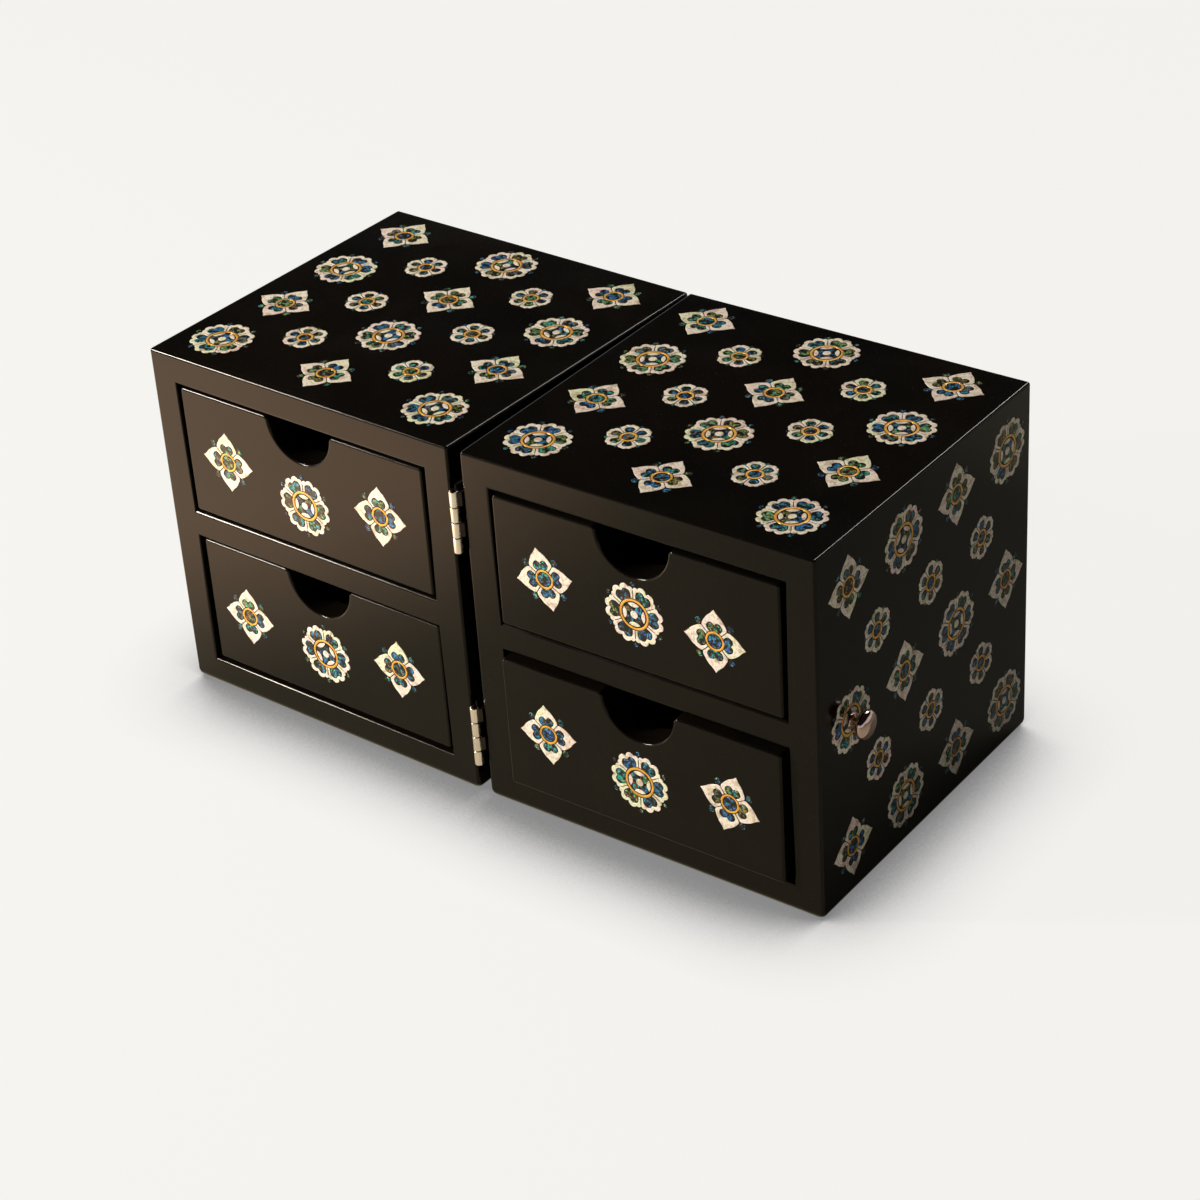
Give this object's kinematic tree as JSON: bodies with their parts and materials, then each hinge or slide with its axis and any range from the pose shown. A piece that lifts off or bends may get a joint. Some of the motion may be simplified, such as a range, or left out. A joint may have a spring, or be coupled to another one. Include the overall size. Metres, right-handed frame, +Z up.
{
  "type": "jewelry cabinet",
  "caption": "Folding pair of small square jewelry cabinets in black lacquer with shell flower inlay, hinged at the front, with notched drawers and side knobs.",
  "frame": {"origin": "middle of the object's box at rest, on the surface that it stands on", "axes": "+Z up, the drawer fronts face -Y, +X to the right seen from the front"},
  "size_m": [0.2574, 0.1208, 0.1201],
  "materials": {
    "black_lacquer": "high-gloss black lacquer",
    "drawer_wood": "satin black lacquer",
    "shell_inlay": "polished mother-of-pearl and abalone shell with gold lines",
    "velvet_lining": "black velvet",
    "hinge_metal": "nickel plate",
    "knob_metal": "polished black nickel"
  },
  "bodies": {
    "left_cabinet": {"left_top_panel": "black_lacquer", "left_bottom_panel": "black_lacquer", "left_inner_side_panel": "black_lacquer", "left_outer_side_panel": "black_lacquer", "left_back_panel": "black_lacquer", "left_drawer_shelf": "black_lacquer", "left_top_inlay": "shell_inlay", "left_side_inlay": "shell_inlay", "left_back_inlay": "shell_inlay", "upper_hinge_left_leaf": "hinge_metal", "lower_hinge_left_leaf": "hinge_metal", "left_hinge_screws": "hinge_metal", "left_knob": "knob_metal", "left_knob_stud": "hinge_metal", "upper_hinge_pin": "hinge_metal", "lower_hinge_pin": "hinge_metal"},
    "right_cabinet": {"right_top_panel": "black_lacquer", "right_bottom_panel": "black_lacquer", "right_inner_side_panel": "black_lacquer", "right_outer_side_panel": "black_lacquer", "right_back_panel": "black_lacquer", "right_drawer_shelf": "black_lacquer", "right_top_inlay": "shell_inlay", "right_side_inlay": "shell_inlay", "right_back_inlay": "shell_inlay", "upper_hinge_right_leaf": "hinge_metal", "lower_hinge_right_leaf": "hinge_metal", "right_hinge_screws": "hinge_metal", "right_knob": "knob_metal", "right_knob_stud": "hinge_metal"},
    "left_upper_drawer": {"left_upper_drawer_front": "black_lacquer", "left_upper_drawer_inner_board": "drawer_wood", "left_upper_drawer_outer_board": "drawer_wood", "left_upper_drawer_rear_board": "drawer_wood", "left_upper_drawer_bottom": "drawer_wood", "left_upper_drawer_lining": "velvet_lining", "left_upper_drawer_inlay": "shell_inlay"},
    "left_lower_drawer": {"left_lower_drawer_front": "black_lacquer", "left_lower_drawer_inner_board": "drawer_wood", "left_lower_drawer_outer_board": "drawer_wood", "left_lower_drawer_rear_board": "drawer_wood", "left_lower_drawer_bottom": "drawer_wood", "left_lower_drawer_lining": "velvet_lining", "left_lower_drawer_inlay": "shell_inlay"},
    "right_upper_drawer": {"right_upper_drawer_front": "black_lacquer", "right_upper_drawer_inner_board": "drawer_wood", "right_upper_drawer_outer_board": "drawer_wood", "right_upper_drawer_rear_board": "drawer_wood", "right_upper_drawer_bottom": "drawer_wood", "right_upper_drawer_lining": "velvet_lining", "right_upper_drawer_inlay": "shell_inlay"},
    "right_lower_drawer": {"right_lower_drawer_front": "black_lacquer", "right_lower_drawer_inner_board": "drawer_wood", "right_lower_drawer_outer_board": "drawer_wood", "right_lower_drawer_rear_board": "drawer_wood", "right_lower_drawer_bottom": "drawer_wood", "right_lower_drawer_lining": "velvet_lining", "right_lower_drawer_inlay": "shell_inlay"}
  },
  "joints": [
    {"name": "fold", "type": "hinge", "parent": "left_cabinet", "child": "right_cabinet", "pos_m": [0, -0.05915, 0.06], "axis": [0, 0, 1], "range_deg": [-181.9, 0.3]},
    {"name": "left_upper_slide", "type": "slide", "parent": "left_cabinet", "child": "left_upper_drawer", "axis": [-0.0166, -0.9999, 0], "range_m": [-0.001, 0.084]},
    {"name": "left_lower_slide", "type": "slide", "parent": "left_cabinet", "child": "left_lower_drawer", "axis": [-0.0166, -0.9999, 0], "range_m": [-0.00025, 0.08475]},
    {"name": "right_upper_slide", "type": "slide", "parent": "right_cabinet", "child": "right_upper_drawer", "axis": [0.0166, -0.9999, 0], "range_m": [-0.00195, 0.08305]},
    {"name": "right_lower_slide", "type": "slide", "parent": "right_cabinet", "child": "right_lower_drawer", "axis": [0.0166, -0.9999, 0], "range_m": [-0.0039, 0.0811]}
  ]
}
